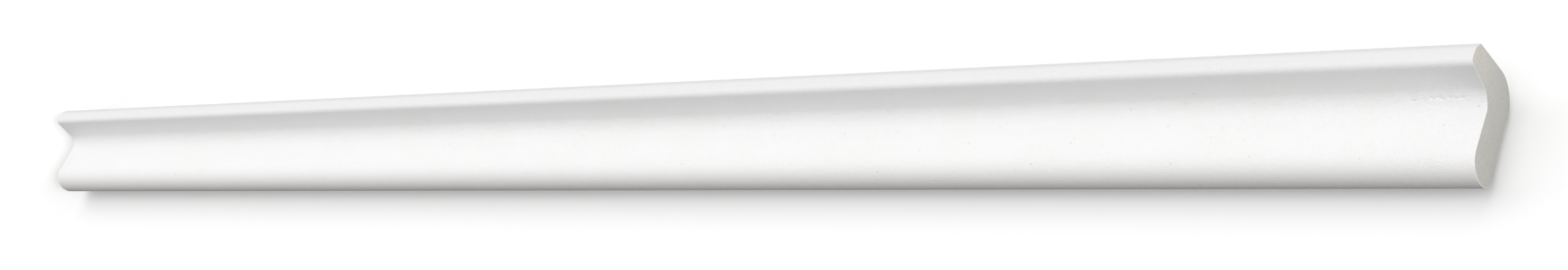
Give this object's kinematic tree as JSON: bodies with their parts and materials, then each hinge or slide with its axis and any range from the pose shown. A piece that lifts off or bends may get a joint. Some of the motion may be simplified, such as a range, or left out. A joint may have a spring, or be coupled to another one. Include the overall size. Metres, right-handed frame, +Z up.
{
  "type": "foam coving",
  "caption": "White polystyrene foam coving length for the corner of a wall and a ceiling, with a stepped nose, a tight cove and a rounded foot, cut square at both ends.",
  "frame": {"origin": "middle of the flat face that is fixed to the wall, at mid length", "axes": "+X along the length, +Y into the wall, +Z up to the ceiling"},
  "size_m": [2, 0.0738, 0.0945],
  "materials": {
    "foam": "matt white expanded polystyrene with a fine closed-cell surface, duller and slightly grey-beige where the ends are cut"
  },
  "bodies": {
    "root": {"foam_coving": "foam"}
  },
  "joints": []
}
